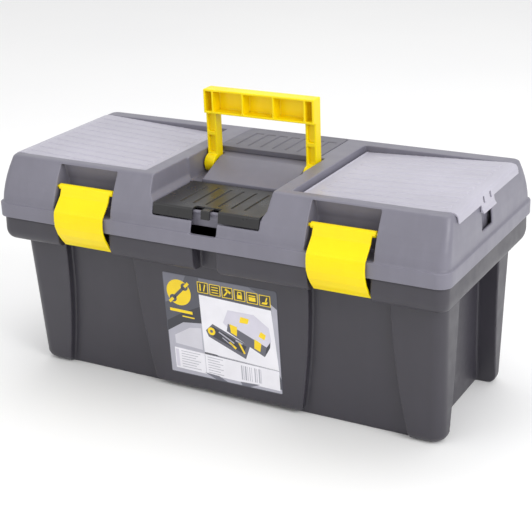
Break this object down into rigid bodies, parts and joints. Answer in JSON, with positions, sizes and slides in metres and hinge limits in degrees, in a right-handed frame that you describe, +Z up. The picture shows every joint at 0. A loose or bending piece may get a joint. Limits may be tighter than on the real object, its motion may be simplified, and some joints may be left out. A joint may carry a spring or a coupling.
{
  "type": "toolbox with tray",
  "caption": "Moulded plastic toolbox with a lift-out tray, clear-lidded organisers in the hinged lid, a folding carry handle and front latches.",
  "frame": {"origin": "centre of the footprint, on the floor it stands on", "axes": "+X along the box to the right end, -Y towards the front with the latches, +Z up; lid shut, handle upright"},
  "size_m": [0.525, 0.254, 0.314],
  "materials": {
    "tub_plastic": "fine moulded grain, satin",
    "lid_plastic": "fine moulded grain, satin",
    "yellow_plastic": "smooth moulded plastic",
    "clear_plastic": "frosted clear plastic",
    "dark_plastic": "satin moulded plastic",
    "tray_plastic": "satin moulded plastic",
    "divider_plastic": "satin moulded plastic",
    "pin_steel": "drawn wire",
    "label_paper": "printed film, semi-gloss"
  },
  "bodies": {
    "base": {"tub": "tub_plastic", "label": "label_paper", "hinge_pins": "pin_steel"},
    "lid": {"lid_shell": "lid_plastic", "organiser_dividers_left": "divider_plastic", "organiser_dividers_right": "divider_plastic"},
    "latch_left": {"latch_left": "yellow_plastic"},
    "latch_right": {"latch_right": "yellow_plastic"},
    "clear_cover_left": {"clear_cover_left": "clear_plastic"},
    "clear_cover_right": {"clear_cover_right": "clear_plastic"},
    "front_cover": {"front_cover": "dark_plastic"},
    "rear_cover": {"rear_cover": "lid_plastic"},
    "handle": {"carry_handle": "yellow_plastic"},
    "tray": {"tray": "tray_plastic", "tray_dividers": "divider_plastic"}
  },
  "joints": [
    {"name": "lid_hinge", "type": "hinge", "parent": "base", "child": "lid", "pos_m": [0, 0.1225, 0.181], "axis": [-1, 0, 0], "range_deg": [0, 105]},
    {"name": "latch_left_hinge", "type": "hinge", "parent": "lid", "child": "latch_left", "pos_m": [-0.15, -0.1055, 0.222], "axis": [-1, 0, 0], "range_deg": [0, 120]},
    {"name": "latch_right_hinge", "type": "hinge", "parent": "lid", "child": "latch_right", "pos_m": [0.15, -0.1055, 0.222], "axis": [-1, 0, 0], "range_deg": [0, 120]},
    {"name": "clear_cover_left_hinge", "type": "hinge", "parent": "lid", "child": "clear_cover_left", "pos_m": [-0.09, 0, 0.2387], "axis": [0, 1, 0], "range_deg": [0, 100]},
    {"name": "clear_cover_right_hinge", "type": "hinge", "parent": "lid", "child": "clear_cover_right", "pos_m": [0.09, 0, 0.2387], "axis": [0, -1, 0], "range_deg": [0, 100]},
    {"name": "front_cover_hinge", "type": "hinge", "parent": "lid", "child": "front_cover", "pos_m": [0, -0.0365, 0.2213], "axis": [-1, 0, 0], "range_deg": [0, 100]},
    {"name": "rear_cover_hinge", "type": "hinge", "parent": "lid", "child": "rear_cover", "pos_m": [0, 0.0905, 0.2453], "axis": [-1, 0, 0], "range_deg": [0, 100]},
    {"name": "handle_hinge", "type": "hinge", "parent": "lid", "child": "handle", "pos_m": [0, 0.005, 0.232], "axis": [-1, 0, 0], "range_deg": [-90, 0]},
    {"name": "tray_lift", "type": "slide", "parent": "base", "child": "tray", "axis": [0, 0, 1], "range_m": [0, 0.018]}
  ]
}
